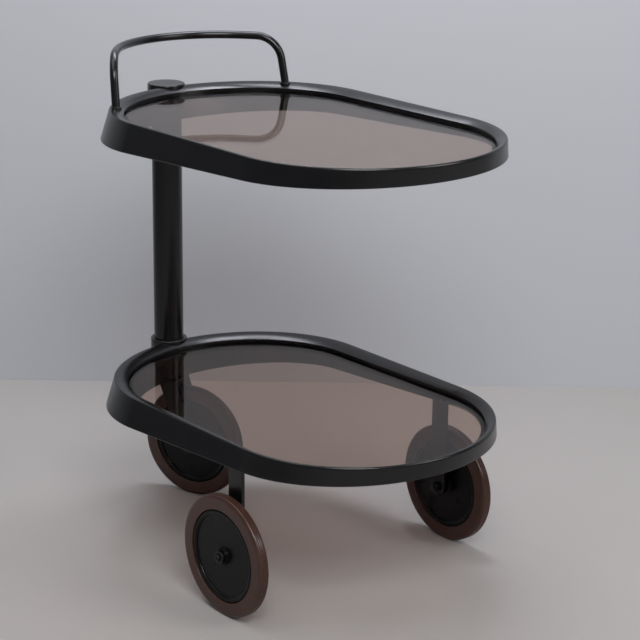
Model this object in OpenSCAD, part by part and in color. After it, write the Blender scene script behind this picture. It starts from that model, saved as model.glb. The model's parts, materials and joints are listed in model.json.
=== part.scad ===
// Two-tray bar cart: a single post with a swivel wheel, two fixed front wheels, two glazed trays.
// Origin on the floor under the middle of the cart, +X to the front, +Y to the left, +Z up.

/* [Wheels] */
// Diameter of every wheel
wheel_d = 180; // [140:1:220]
// Width of the tyre
tyre_w = 17; // [16:1:30]
// Depth of the rounded tyre shoulder towards the axle
tyre_shoulder_r = 7.5; // [3:0.5:7.5]
// Width of the rounded tyre shoulder along the axle
tyre_shoulder_w = 4; // [2:0.5:6]
// Distance from one tread groove to the next, as a share of the flat tread's half width
groove_share = 0.72; // [0.55:0.01:0.72]
// Depth and half width of a tread groove, as a share of that distance
groove_depth_share = 0.25; // [0.15:0.05:0.35]
// Diameter of the wheel disc inside the tyre
disc_d = 137; // [110:1:150]
// Width of the disc's rim bead
rim_w = 15; // [12:1:15]
// Radial depth of the rim bead
rim_depth = 8; // [5:1:12]
// Thickness of the disc's flat web
web_t = 9; // [6:1:11]
// Diameter of the disc's hub boss
hub_d = 24; // [22:1:40]
// Length of the wheel bush along the axle
hub_w = 24; // [19:1:26]
// Wall of the wheel bush
bush_wall = 3; // [2:0.5:4]
// Diameter of the axles
axle_d = 8; // [6:1:10]

/* [Stance] */
// Distance from the post axis to the front axle
wheelbase = 431; // [380:1:480]
// Distance from the swivel axis to the rear axle
trail = 48; // [30:1:60]
// Angle of the rear wheel at rest, from straight ahead
caster_yaw = 20; // [-60:1:60]

/* [Trays] */
// Height of the upper tray's rim above the floor
upper_rim_z = 672; // [620:1:740]
// Height of the lower tray's rim above the floor
lower_rim_z = 258; // [250:1:300]
// Distance from the post axis to the rim at the back end
rim_back = 16; // [12:0.5:20]
// Distance from the post axis to the rim at the front end
rim_front = 653; // [600:1:700]
// Width over the rim at the back
rim_w_back = 418; // [380:1:460]
// Width over the rim at the front
rim_w_front = 414; // [380:1:460]
// Length of the rounded back end
back_round = 190; // [150:1:205]
// Length of the rounded front end
front_round = 196; // [160:1:210]
// Depth of the skirt under the post
skirt_back = 47; // [40:0.5:50]
// Depth of the skirt at the front end
skirt_front = 26; // [25:0.5:40]
// Depth from the rim to the inner corner above the glass
bulge_drop = 7.2; // [5:0.1:7.6]
// Depth from the rim to the glass
glass_drop = 11.8; // [8:0.1:13]
// Thickness of the glass
glass_t = 6; // [4:0.5:6]
// Thickness of the seal under the glass
seal_t = 1; // [0.5:0.5:1.5]
// Gap round the edge of the glass
glass_gap = 1.2; // [0.8:0.1:2]
// Width of the ledge that carries the glass
ledge_w = 6; // [4:0.5:8]
// Thickness of the ledge
ledge_t = 3.5; // [2.5:0.5:4]

/* [Post] */
// Diameter of the post
post_d = 47; // [42:0.5:50]
// Wall of the post tube
post_wall = 2; // [1.5:0.5:3]
// Wall of the tray bosses round the post
boss_wall = 5.5; // [3:0.5:7]
// Rise of the bosses above the rim
boss_rise = 3; // [2:0.5:8]
// Thickness of the closed top of the upper boss
boss_cap_t = 10; // [9:0.5:14]
// Radius of the rounded edge on the bosses
boss_edge_r = 3; // [1:0.5:3]
// Length of the lower boss below its skirt
collar_drop = 11; // [9:0.5:12]
// Length of the plugs in the post's ends
plug_len = 16; // [12:1:40]
// Diameter of the swivel pin
pin_d = 12; // [10:1:14]

/* [Handle] */
// Diameter of the handle tube
handle_d = 12.3; // [10:0.1:16]
// Height of the grip's axis above the rim
handle_rise = 71; // [60:1:100]
// Distance from the post axis to the handle's feet
handle_x = 96; // [92:1:100]
// Distance from the widest side of the rim in to the handle's feet
handle_inset = 49; // [48:1:53]
// Lean of the handle's sides towards the back
handle_lean = 10; // [5:1:15]
// Lean of the handle's sides towards each other
handle_draw_in = 3.7; // [0:0.1:6]
// Bend radius of the handle's corners
handle_corner_r = 42; // [30:1:44]
// Bend radius of the grip
grip_bend_r = 157; // [130:1:165]
// Angle between the grip's straight ends and the cross direction
grip_angle = 50; // [45:1:55]
// Depth of the handle's sockets in the rim
socket_depth = 12; // [8:1:14]

/* [Legs and fork] */
// Width of the leg plates
leg_w = 30; // [24:1:36]
// Thickness of the leg plates
leg_t = 6; // [4:0.5:7]
// Distance from the side of the rim in to the leg's outer face
leg_inset = 7.5; // [6:0.5:10]
// Clearance between the leg and the front tyre
leg_gap = 8; // [5:0.5:10]
// Width of the fork's side plates
fork_w = 32; // [26:1:38]
// Thickness of the fork's plates
fork_t = 5; // [4:0.5:6]
// Lean of the fork's side plates
fork_lean = 22; // [15:1:28]
// Clearance between the tyre and the fork's sides
fork_gap = 6; // [4.5:0.5:8]
// Clearance between the tyre's top and the fork's bridge
bridge_gap = 7; // [4:0.5:10]

/* [Hidden] */
$fn = 64;
black = [0.10, 0.10, 0.11];
steel = [0.45, 0.46, 0.48];
smoke = [0.45, 0.42, 0.41, 0.5];
brown = [0.27, 0.21, 0.19];
nylon = [0.16, 0.16, 0.17];
fit_gap = 0.05;
run_gap = 0.3;
handle_feet = rim_w_back - 2*handle_inset;
leg_span = rim_w_front - 2*leg_inset;
track = leg_span + 2*leg_gap + tyre_w;
wheel_r = wheel_d/2;
axle_r = axle_d/2;
bush_r = axle_r + fit_gap + bush_wall;
post_r = post_d/2;
post_inner_r = post_r - post_wall;
boss_r = post_r + boss_wall;
arc_step = 5;
pane_step = 3;
skirt_slope = (skirt_back - skirt_front)/rim_front;
shoulder_w = 2.5;
shoulder_h = 4;
skirt_edge = 1.2;
seal_z = -glass_drop - glass_t - seal_t;
ledge_z = seal_z - ledge_t;
// Each rail round the tray stands off from the rim by back end, back sides, front sides, front end
rim_rail = [0, 0, 0, 0];
shoulder_rail = [1, 1, 1, 1]*shoulder_w;
skirt_rail = [12, 15.5, 8.3, -0.5];
skirt_edge_rail = skirt_rail - [1, 1, 1, 1]*skirt_edge;
glass_rail = [-17, -21.5, -14.5, -11];
pane_rail = glass_rail - [1, 1, 1, 1]*glass_gap;
ledge_rail = glass_rail - [1, 1, 1, 1]*ledge_w;
foot_rail = [-50.5, -26, -10, -9];
back_cx = rim_back + back_round;
front_cx = rim_front - front_round;
washer_t = 1.5;
washer_r = 10.5;
nut_r = 7.5;
stud_r = 3;
stud_l = 2.6;
cap_nut_r = 5.8;
cap_nut_h = 4.6;
lock_nut_h = 6.5;
screw_r = 3;
screw_head_r = 5;
screw_head_h = 3;
screw_pitch = 16;
leg_top_z = lower_rim_z + ledge_z - 0.2;
leg_seat_x = 0.3;
seat_in = 12;
head_well = 12;
grub_over = 10;
foot_z = upper_rim_z + 0.6;
pad_r = handle_d/2 + 2.2;
pad_h = 12;
handle_k_z = upper_rim_z + handle_rise;
boss_bolt_r = 4;
boss_bolt_head_r = 6.5;
boss_bolt_head_h = 5;
boss_top_z = upper_rim_z + boss_rise;
post_top_z = boss_top_z - boss_cap_t;
collar_bottom_z = lower_rim_z - skirt_back - collar_drop;
bridge_z = wheel_d + bridge_gap;
swivel_washer_t = 2;
plug_flange_t = 5;
plug_z = bridge_z + fork_t + swivel_washer_t + run_gap;
post_bottom_z = plug_z + plug_flange_t;
pin_r = pin_d/2;
pin_head_r = pin_r + 4;
pin_head_h = 6;
fork_inner = tyre_w/2 + fork_gap;
bridge_r = post_r + 1.5;
grub_r = 2.5;
grub_z = collar_bottom_z + 5.5;

// Point of a rail on the tray's plan, on the back or front round end, at angle a
function rail_point(off, a, front) = front
    ? [front_cx + (front_round + off[3])*cos(a), (rim_w_front/2 + off[2])*sin(a)]
    : [back_cx + (back_round + off[0])*cos(a), (rim_w_back/2 + off[1])*sin(a)];
// Stations round the plan, each with its angle and its end
function stations(step) = concat(
    [for (a = [-90:step:90]) [a, true]],
    [for (a = [90:step:270]) [a, false]]);
function rail(off, step) = [for (s = stations(step)) rail_point(off, s[0], s[1])];
function skirt_z(x) = -skirt_back + skirt_slope*x;
function at_z(p, z) = [p[0], p[1], z];
function on_skirt(p, lift) = at_z(p, skirt_z(p[0]) + lift);
function blend(p, q, k) = p + (q - p)*k;
// Closed section of the tray frame at one station, from the rim out, down, in and up again
function section(s) = let(
    rim = rail_point(rim_rail, s[0], s[1]),
    shoulder = rail_point(shoulder_rail, s[0], s[1]),
    glass = rail_point(glass_rail, s[0], s[1]),
    ledge = rail_point(ledge_rail, s[0], s[1]))
    concat(
        [for (a = [0:45:90]) at_z(blend(rim, shoulder, sin(a)), -shoulder_h*(1 - cos(a)))],
        [on_skirt(rail_point(skirt_rail, s[0], s[1]), skirt_edge)],
        [on_skirt(rail_point(skirt_edge_rail, s[0], s[1]), 0)],
        [on_skirt(rail_point(foot_rail, s[0], s[1]), 0)],
        [at_z(ledge, ledge_z), at_z(ledge, seal_z), at_z(glass, seal_z)],
        [for (k = [1:-0.2:0.2]) at_z(blend(rim, glass, k), -bulge_drop*pow(k, 1.8))]);
function unit(v) = v/norm(v);
// How far the rear tyre reaches behind the post, and the middle of the cart's length
rear_reach = norm([tyre_shoulder_r*cos(caster_yaw), tyre_shoulder_w*sin(caster_yaw)])
    + (wheel_r - tyre_shoulder_r - trail)*cos(caster_yaw)
    + (tyre_w/2 - tyre_shoulder_w)*abs(sin(caster_yaw));
middle_x = (rim_front + shoulder_w - rear_reach)/2;
// Moves what is drawn from the post's axis into the cart's own frame
module from_post() {
    translate([-middle_x, 0, 0])
        children();
}
function turn(u, v) = acos(u*v);

// Sweeps the closed section round the tray
module tray_ring() {
    rings = [for (s = stations(arc_step)) section(s)];
    n = len(rings);
    m = len(rings[0]);
    polyhedron(
        points = [for (r = rings) each r],
        faces = [for (i = [0:n - 1]) for (j = [0:m - 1])
            let(a = i*m + j, b = i*m + (j + 1)%m, c = ((i + 1)%n)*m + (j + 1)%m, d = ((i + 1)%n)*m + j)
            each [[a, c, b], [a, d, c]]],
        convexity = 10);
}

// Round boss with a rounded upper edge, from z0 up to z1
module boss(z0, z1) {
    edge = [for (a = [0:15:90]) [boss_r - boss_edge_r*(1 - cos(a)), z1 - boss_edge_r*(1 - sin(a))]];
    rotate_extrude()
        polygon(concat([[0, z0], [boss_r, z0]], edge, [[0, z1]]));
}

// Frame blank of a tray with its boss, before the bores
module tray_blank(rim_z, boss_bottom) {
    translate([0, 0, rim_z])
        tray_ring();
    boss(boss_bottom, rim_z + boss_rise);
}

module handle_pads() {
    for (s = [-1, 1])
        translate([handle_x, s*handle_feet/2, foot_z - pad_h])
            cylinder(r = pad_r, h = pad_h);
}

// Straight rod from point a to point b, with its seam turned away from the pads' own seams
module rod(a, b, r) {
    d = b - a;
    translate(a)
        rotate([0, acos(d[2]/norm(d)), atan2(d[1], d[0])])
            rotate([0, 0, 37])
                cylinder(r = r, h = norm(d));
}

// Frames, each a point and a direction, along the bend between directions u and v at the corner p
function bend_frames(p, u, v, bend_r, steps) = let(
    angle = turn(u, v),
    n = unit(v - u*(u*v)),
    c = p - u*bend_r*tan(angle/2) + n*bend_r)
    [for (i = [0:steps]) let(a = angle*i/steps)
        [c - n*bend_r*cos(a) + u*bend_r*sin(a), u*cos(a) + n*sin(a)]];

// Round bar of radius r through a list of frames that never point along X
module bar_along(frames, r, sides) {
    n = len(frames);
    rings = [for (f = frames) let(
        side = unit(cross(f[1], [1, 0, 0])),
        other = cross(f[1], side))
        each [for (k = [0:sides - 1]) let(a = 360*k/sides) f[0] + (side*cos(a) + other*sin(a))*r]];
    polyhedron(
        points = rings,
        faces = concat(
            [[for (k = [0:sides - 1]) k]],
            [[for (k = [sides - 1:-1:0]) (n - 1)*sides + k]],
            [for (i = [0:n - 2]) for (k = [0:sides - 1])
                let(a = i*sides + k, b = i*sides + (k + 1)%sides)
                each [[a, a + sides, b + sides], [a, b + sides, b]]]),
        convexity = 6);
}

// Direction of a handle side and the corner where it meets the grip, on side s
function handle_dir(s) = unit([-tan(handle_lean), -s*tan(handle_draw_in), 1]);
function handle_foot(s) = [handle_x, s*handle_feet/2, upper_rim_z];
function handle_corner(s) = handle_foot(s) + handle_dir(s)*handle_rise/handle_dir(s)[2];
function handle_end(s) = handle_foot(s) - handle_dir(s)*socket_depth;
function grip_corner() = handle_corner(1)
    - [tan(grip_angle)*handle_corner(1)[1], handle_corner(1)[1], 0];

module handle_bar(r) {
    along = unit(grip_corner() - handle_corner(1));
    back = unit(handle_corner(-1) - grip_corner());
    bar_along(concat(
        [[handle_end(1), handle_dir(1)]],
        bend_frames(handle_corner(1), handle_dir(1), along, handle_corner_r, 8),
        bend_frames(grip_corner(), along, back, grip_bend_r, 20),
        bend_frames(handle_corner(-1), back, -handle_dir(-1), handle_corner_r, 8),
        [[handle_end(-1), -handle_dir(-1)]]), r, 20);
}

// Screw path up through the skirt into a handle foot
module handle_screw(s, grow) {
    d = handle_dir(s);
    head_z = upper_rim_z + skirt_z(handle_x) + screw_head_h + 1;
    start = handle_foot(s) + d*(head_z - upper_rim_z)/d[2];
    rod(start, handle_end(s) + d*(socket_depth - 2), screw_r + grow);
}

module handle_screw_head(s, grow, drop) {
    d = handle_dir(s);
    head_z = upper_rim_z + skirt_z(handle_x) + screw_head_h + 1;
    top = handle_foot(s) + d*(head_z - upper_rim_z)/d[2];
    rod(top - d*drop, top, screw_head_r + grow);
}

module upper_frame() {
    color(black) from_post()
        difference() {
            union() {
                tray_blank(upper_rim_z, upper_rim_z - skirt_back);
                handle_pads();
            }
            translate([0, 0, upper_rim_z - skirt_back - 1])
                cylinder(r = post_r + fit_gap, h = post_top_z - upper_rim_z + skirt_back + 1);
            translate([0, 0, post_top_z - 1])
                cylinder(r = boss_bolt_r + fit_gap, h = boss_cap_t - 1);
            for (s = [-1, 1]) {
                rod(handle_end(s), handle_foot(s) + handle_dir(s)*5, handle_d/2 + fit_gap);
                handle_screw(s, fit_gap);
                handle_screw_head(s, 0.4, head_well);
            }
        }
}

module lower_frame() {
    color(black) from_post()
        difference() {
            tray_blank(lower_rim_z, collar_bottom_z);
            translate([0, 0, collar_bottom_z - 1])
                cylinder(r = post_r + fit_gap, h = lower_rim_z + boss_rise - collar_bottom_z + 2);
            for (s = [-1, 1]) {
                leg_seat(s);
                leg_screw_rods(s, fit_gap);
            }
            grub_rods(fit_gap);
        }
}

// Space milled in the skirt for the top of one leg
module leg_seat(s) {
    seat_w = leg_w + 2*leg_seat_x;
    inner_y = leg_span/2 - leg_t - seat_in;
    translate([wheelbase - seat_w/2, s > 0 ? inner_y : -leg_span/2, 0])
        translate([0, 0, lower_rim_z - skirt_back])
            cube([seat_w, leg_span/2 - inner_y, leg_top_z - lower_rim_z + skirt_back]);
}

module pane(rim_z) {
    color(smoke) from_post()
        translate([0, 0, rim_z - glass_drop - glass_t])
            linear_extrude(glass_t)
                polygon(rail(pane_rail, pane_step));
}

module seal(rim_z) {
    color(nylon) from_post()
        translate([0, 0, rim_z + seal_z])
            linear_extrude(seal_t)
                difference() {
                    polygon(rail(pane_rail, pane_step));
                    polygon(rail(ledge_rail, pane_step));
                }
}

module upper_glass() { pane(upper_rim_z); }
module lower_glass() { pane(lower_rim_z); }
module upper_seal() { seal(upper_rim_z); }
module lower_seal() { seal(lower_rim_z); }

module post_tube() {
    color(black) from_post()
        translate([0, 0, post_bottom_z])
            difference() {
                cylinder(r = post_r, h = post_top_z - post_bottom_z);
                translate([0, 0, -1])
                    cylinder(r = post_inner_r, h = post_top_z - post_bottom_z + 2);
            }
}

module post_top_plug() {
    color(steel) from_post()
        translate([0, 0, post_top_z - plug_len])
            difference() {
                cylinder(r = post_inner_r - fit_gap, h = plug_len);
                translate([0, 0, -1])
                    cylinder(r = boss_bolt_r + fit_gap, h = plug_len + 2);
            }
}

module post_top_bolt() {
    color(steel) from_post() {
        translate([0, 0, post_top_z - plug_len - boss_bolt_head_h])
            cylinder(r = boss_bolt_head_r, h = boss_bolt_head_h, $fn = 6);
        translate([0, 0, post_top_z - plug_len - boss_bolt_head_h])
            cylinder(r = boss_bolt_r, h = plug_len + boss_bolt_head_h + boss_cap_t - 3);
    }
}

module post_bottom_plug() {
    color(steel) from_post()
        difference() {
            union() {
                translate([0, 0, plug_z])
                    cylinder(r = post_r, h = plug_flange_t);
                translate([0, 0, plug_z])
                    cylinder(r = post_inner_r - fit_gap, h = plug_flange_t + 2*plug_len);
            }
            translate([0, 0, plug_z - 1])
                cylinder(r = pin_r + fit_gap, h = plug_flange_t + 2*plug_len + 2);
        }
}

// Grub screws through the collar onto the post, on the hidden front side
module grub_rods(grow) {
    for (a = [-40, 40])
        rotate([0, 0, a])
            translate([post_r + fit_gap - grow*grub_over, 0, grub_z])
                rotate([0, 90, 0])
                    cylinder(r = grub_r + grow, h = boss_wall + 2*grow*grub_over);
}

module collar_screws() {
    color(steel) from_post()
        grub_rods(0);
}

module handle_tube() {
    color(black) from_post()
        difference() {
            handle_bar(handle_d/2);
            for (s = [-1, 1])
                handle_screw(s, fit_gap);
        }
}

module handle_screws() {
    color(steel) from_post()
        for (s = [-1, 1]) {
            handle_screw(s, 0);
            handle_screw_head(s, 0, screw_head_h);
        }
}

// Flat leg from the skirt down to the front axle on side s
module leg(s) {
    outer = s*leg_span/2;
    color(black) from_post()
        difference() {
            translate([wheelbase, outer + (s > 0 ? 0 : leg_t), 0])
                rotate([90, 0, 0])
                    linear_extrude(leg_t) {
                        translate([0, wheel_r])
                            circle(r = leg_w/2);
                        translate([-leg_w/2, wheel_r])
                            square([leg_w, leg_top_z - wheel_r]);
                    }
            translate([wheelbase, 0, wheel_r])
                rotate([90, 0, 0])
                    cylinder(r = axle_r + fit_gap, h = track + 10, center = true);
            leg_screw_rods(s, fit_gap);
        }
}

module leg_left() { leg(1); }
module leg_right() { leg(-1); }

screw_z = leg_top_z - screw_head_r - 1.2;
module leg_screw_rods(s, grow) {
    for (x = [-1, 1])
        translate([wheelbase + x*screw_pitch/2, s*(leg_span/2 - leg_t), screw_z])
            rotate([-90*s, 0, 0])
                cylinder(r = screw_r + grow, h = leg_t + 8 + grow*10);
}

module leg_screws() {
    color(steel) from_post()
        for (s = [-1, 1]) {
            leg_screw_rods(s, 0);
            for (x = [-1, 1])
                translate([wheelbase + x*screw_pitch/2, s*(leg_span/2 - leg_t), screw_z])
                    rotate([90*s, 0, 0])
                        cylinder(r = screw_head_r, h = screw_head_h);
        }
}

// Puts a child, drawn about +Z with its wheel's middle at 0, on a front axle, with +Z outwards
module on_front(s) {
    translate([wheelbase, s*track/2, wheel_r])
        rotate([-90*s, 0, 0])
            children();
}

// Puts a child, drawn about +Z with its wheel's middle at 0, on the rear axle, with +Z to the left
module on_rear() {
    rotate([0, 0, caster_yaw])
        translate([trail, 0, wheel_r])
            rotate([-90, 0, 0])
                children();
}

module tube(r_out, r_in, z0, z1) {
    translate([0, 0, z0])
        difference() {
            cylinder(r = r_out, h = z1 - z0);
            translate([0, 0, -1])
                cylinder(r = r_in, h = z1 - z0 + 2);
        }
}

module nut(z0, h) {
    translate([0, 0, z0])
        difference() {
            cylinder(r = nut_r, h = h, $fn = 6);
            translate([0, 0, -1])
                cylinder(r = axle_r + fit_gap, h = h + 2);
        }
}

// Closed nut with a domed end on the axle's thinner stud, flat side at z0
module cap_nut(z0) {
    hex_h = 2.2;
    dome_r = 4.9;
    translate([0, 0, z0])
        difference() {
            union() {
                cylinder(r = cap_nut_r, h = hex_h, $fn = 6);
                intersection() {
                    translate([0, 0, cap_nut_h - dome_r])
                        sphere(r = dome_r);
                    cylinder(r = dome_r, h = cap_nut_h);
                }
            }
            translate([0, 0, -1])
                cylinder(r = stud_r + fit_gap, h = stud_l + 1.2);
        }
}

leg_face = -(track - leg_span)/2;
washer_z = hub_w/2 + run_gap;
cap_z = washer_z + washer_t;
module front_axles() {
    color(steel) from_post()
        for (s = [-1, 1])
            on_front(s)
                translate([0, 0, leg_face - leg_t - lock_nut_h - 1.5]) {
                    cylinder(r = axle_r, h = cap_z - leg_face + leg_t + lock_nut_h + 1.5);
                    cylinder(r = stud_r, h = cap_z + stud_l - leg_face + leg_t + lock_nut_h + 1.5);
                }
}

module axle_spacers() {
    color(steel) from_post()
        for (s = [-1, 1])
            on_front(s)
                tube(axle_r + fit_gap + 2.5, axle_r + fit_gap, leg_face, -hub_w/2 - run_gap);
}

module axle_washers() {
    color(steel) from_post()
        for (s = [-1, 1])
            on_front(s)
                tube(washer_r, axle_r + fit_gap, washer_z, cap_z);
}

module axle_cap_nuts() {
    color(steel) from_post()
        for (s = [-1, 1])
            on_front(s)
                cap_nut(cap_z);
}

module axle_lock_nuts() {
    color(steel) from_post()
        for (s = [-1, 1])
            on_front(s)
                nut(leg_face - leg_t - lock_nut_h, lock_nut_h);
}

// Tyre about +Z: flat sides, rounded shoulders and three fine tread grooves
module tyre() {
    half = tyre_w/2;
    seat_r = disc_d/2;
    bevel = half - rim_w/2;
    flat_half = half - tyre_shoulder_w;
    pitch = groove_share*flat_half;
    groove = groove_depth_share*pitch;
    side = [[seat_r, rim_w/2], [seat_r + bevel, half]];
    shoulder = [for (a = [90:-15:0])
        [wheel_r - tyre_shoulder_r*(1 - cos(a)), half - tyre_shoulder_w*(1 - sin(a))]];
    grooves = [for (g = [1:-1:-1]) each [
        [wheel_r, g*pitch + groove],
        [wheel_r - groove, g*pitch],
        [wheel_r, g*pitch - groove]]];
    upper = concat(side, shoulder);
    lower = [for (i = [len(upper) - 1:-1:0]) [upper[i][0], -upper[i][1]]];
    rotate_extrude($fn = 96)
        polygon(concat(upper, grooves, lower));
}

// Disc about +Z: rounded rim bead, flat web and a hub boss with the bore of the bush
module disc() {
    rim_r = disc_d/2 - fit_gap;
    bead = [for (a = [0:15:180]) [
        rim_r - rim_depth/2 + cos(a)*rim_depth/2,
        web_t/2 + sin(a)*(rim_w - web_t)/2]];
    bead_low = [for (i = [len(bead) - 1:-1:0]) [bead[i][0], -bead[i][1]]];
    rotate_extrude($fn = 96)
        polygon(concat(
            bead,
            [[hub_d/2 + 1, web_t/2], [hub_d/2, hub_w/2 - 3], [bush_r + fit_gap, hub_w/2 - 3]],
            [[bush_r + fit_gap, 3 - hub_w/2], [hub_d/2, 3 - hub_w/2], [hub_d/2 + 1, -web_t/2]],
            bead_low));
}

module bush() {
    tube(bush_r, axle_r + fit_gap, -hub_w/2, hub_w/2);
}

module front_left_disc() { color(black) from_post() on_front(1) disc(); }
module front_left_bush() { color(nylon) from_post() on_front(1) bush(); }
module front_left_tyre() { color(brown) from_post() on_front(1) tyre(); }
module front_right_disc() { color(black) from_post() on_front(-1) disc(); }
module front_right_bush() { color(nylon) from_post() on_front(-1) bush(); }
module front_right_tyre() { color(brown) from_post() on_front(-1) tyre(); }
module rear_disc() { color(black) from_post() on_rear() disc(); }
module rear_bush() { color(nylon) from_post() on_rear() bush(); }
module rear_tyre() { color(brown) from_post() on_rear() tyre(); }

module swivel_pin() {
    top_z = plug_z + plug_flange_t + 2*plug_len;
    color(steel) from_post() {
        translate([0, 0, bridge_z - run_gap - pin_head_h])
            cylinder(r = pin_head_r, h = pin_head_h);
        translate([0, 0, bridge_z - run_gap - pin_head_h])
            cylinder(r = pin_r, h = top_z - bridge_z + run_gap + pin_head_h);
    }
}

module swivel_washer() {
    color(nylon) from_post()
        tube(bridge_r - 3, pin_r + fit_gap, bridge_z + fork_t, bridge_z + fork_t + swivel_washer_t);
}

// Outline of a fork side plate, seen from the side, with its lower end on the rear axle
module fork_side() {
    difference() {
        translate([trail, wheel_r])
            rotate(fork_lean) {
                circle(r = fork_w/2);
                translate([-fork_w/2, 0])
                    square([fork_w, 2*wheel_r]);
            }
        translate([trail - 4*wheel_r, bridge_z])
            square([8*wheel_r, 4*wheel_r]);
    }
}

// Outline of the fork's bridge, seen from above: a disc under the post joined to the plates' tops
module fork_bridge() {
    middle = trail - (bridge_z - wheel_r)*tan(fork_lean);
    half = fork_w/2/cos(fork_lean);
    circle(r = bridge_r);
    translate([middle - half, -fork_inner - fork_t])
        square([2*half, 2*(fork_inner + fork_t)]);
}

module caster_fork() {
    color(black) from_post()
        rotate([0, 0, caster_yaw])
            difference() {
                union() {
                    for (s = [-1, 1])
                        translate([0, s > 0 ? fork_inner + fork_t : -fork_inner, 0])
                            rotate([90, 0, 0])
                                linear_extrude(fork_t)
                                    fork_side();
                    translate([0, 0, bridge_z])
                        linear_extrude(fork_t)
                            fork_bridge();
                }
                translate([0, 0, bridge_z - 1])
                    cylinder(r = pin_r + fit_gap, h = fork_t + 2);
                translate([trail, 0, wheel_r])
                    rotate([90, 0, 0])
                        cylinder(r = axle_r + fit_gap, h = 4*wheel_r, center = true);
            }
}

rear_face = fork_inner + fork_t;
module rear_axle() {
    color(steel) from_post()
        on_rear() {
            cylinder(r = axle_r, h = 2*rear_face, center = true);
            cylinder(r = stud_r, h = 2*(rear_face + stud_l), center = true);
        }
}

module rear_spacers() {
    color(steel) from_post()
        on_rear()
            for (s = [0, 180])
                rotate([s, 0, 0])
                    tube(axle_r + fit_gap + 2.5, axle_r + fit_gap, hub_w/2 + run_gap, fork_inner);
}

module rear_nuts() {
    color(steel) from_post()
        on_rear()
            for (s = [0, 180])
                rotate([s, 0, 0])
                    cap_nut(rear_face);
}

upper_frame();
lower_frame();
upper_glass();
lower_glass();
upper_seal();
lower_seal();
post_tube();
post_top_plug();
post_top_bolt();
post_bottom_plug();
collar_screws();
handle_tube();
handle_screws();
leg_left();
leg_right();
leg_screws();
front_axles();
axle_spacers();
axle_washers();
axle_cap_nuts();
axle_lock_nuts();
front_left_disc();
front_left_bush();
front_left_tyre();
front_right_disc();
front_right_bush();
front_right_tyre();
swivel_pin();
swivel_washer();
caster_fork();
rear_axle();
rear_spacers();
rear_nuts();
rear_disc();
rear_bush();
rear_tyre();
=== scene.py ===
import json
import math

import bpy
from mathutils import Matrix, Vector


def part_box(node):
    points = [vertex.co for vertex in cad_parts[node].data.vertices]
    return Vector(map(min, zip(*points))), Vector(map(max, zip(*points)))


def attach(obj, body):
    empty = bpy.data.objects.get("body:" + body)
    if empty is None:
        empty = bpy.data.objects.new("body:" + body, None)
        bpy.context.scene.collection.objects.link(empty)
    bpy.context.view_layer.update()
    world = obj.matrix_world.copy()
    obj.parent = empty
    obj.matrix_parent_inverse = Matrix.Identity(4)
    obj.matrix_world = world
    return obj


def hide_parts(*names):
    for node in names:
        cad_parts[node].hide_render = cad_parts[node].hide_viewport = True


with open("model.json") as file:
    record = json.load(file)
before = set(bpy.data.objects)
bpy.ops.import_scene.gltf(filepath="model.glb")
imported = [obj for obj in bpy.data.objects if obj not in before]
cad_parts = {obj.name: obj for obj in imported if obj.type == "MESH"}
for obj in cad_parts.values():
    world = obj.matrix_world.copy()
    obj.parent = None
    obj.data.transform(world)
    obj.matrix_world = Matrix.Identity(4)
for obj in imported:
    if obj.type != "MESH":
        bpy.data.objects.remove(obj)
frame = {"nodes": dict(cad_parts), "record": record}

bl_info = {
    "name": "Bar cart",
    "version": (1, 0, 0),
    "blender": (4, 5, 0),
    "location": "3D View > Sidebar > Bar cart",
    "description": "A two-tray bar cart with smoked glass, a bent handle and three wheels",
    "category": "Object",
}

MM = 0.001
UP = Vector((0, 0, 1))


def linear(code):
    """Turns an sRGB hex colour into linear red, green, blue and alpha."""
    parts = [int(code[i:i + 2], 16) / 255 for i in (0, 2, 4)]
    return [p / 12.92 if p <= 0.04045 else ((p + 0.055) / 1.055) ** 2.4 for p in parts] + [1.0]


def middle(node):
    """The centre of a CAD node's box."""
    low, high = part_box(node)
    return (Vector(low) + Vector(high)) / 2


def length(name, text, value):
    """A length that the user can change, in metres."""
    return bpy.props.FloatProperty(name=name, description=text, default=value, min=0, precision=4,
                                   subtype="DISTANCE", unit="LENGTH")


def colour(name, text, code):
    """A colour that the user can change, from its sRGB hex value."""
    return bpy.props.FloatVectorProperty(name=name, description=text, default=linear(code), size=4,
                                         min=0, max=1, subtype="COLOR")


POST_X = middle("post_tube").x
WHEEL_X = middle("front_left_tyre").x
WHEEL_Y = middle("front_left_tyre").y
REAR_HUB = middle("rear_bush")


class TraySizes(bpy.types.PropertyGroup):
    upper_rim: length("Upper rim height", "Height of the upper tray's rim above the floor", 0.672)
    lower_rim: length("Lower rim height", "Height of the lower tray's rim above the floor", 0.258)
    back: length("Back reach", "Distance from the post's axis to the rim at the back", 0.016)
    front: length("Front reach", "Distance from the post's axis to the rim at the front", 0.653)
    half_back: length("Half width, back", "Half the width over the rim at the back", 0.209)
    half_front: length("Half width, front", "Half the width over the rim at the front", 0.207)
    back_round: length("Back rounding", "Length of the rounded back end", 0.190)
    front_round: length("Front rounding", "Length of the rounded front end", 0.196)
    skirt_back: length("Skirt depth, back", "Depth of the skirt under the post", 0.047)
    skirt_front: length("Skirt depth, front", "Depth of the skirt at the front end", 0.026)
    bulge_drop: length("Bulge drop", "Depth from the rim to the corner over the glass", 0.0072)
    glass_drop: length("Glass drop", "Depth from the rim to the glass", 0.0118)
    glass_thick: length("Glass thickness", "Thickness of the glass", 0.006)
    glass_edge: length("Glass edge", "Width of the ground edge of the glass", 0.0006)


class PostSizes(bpy.types.PropertyGroup):
    radius: length("Post radius", "Radius of the post", 0.0235)
    boss: length("Boss radius", "Radius of the bosses round the post", 0.029)
    boss_rise: length("Boss rise", "Height of the bosses above the rim", 0.003)
    boss_edge: length("Boss edge", "Radius of the rounded edge of the bosses", 0.002)
    collar_drop: length("Collar drop", "Length of the lower boss below the skirt", 0.011)


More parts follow.
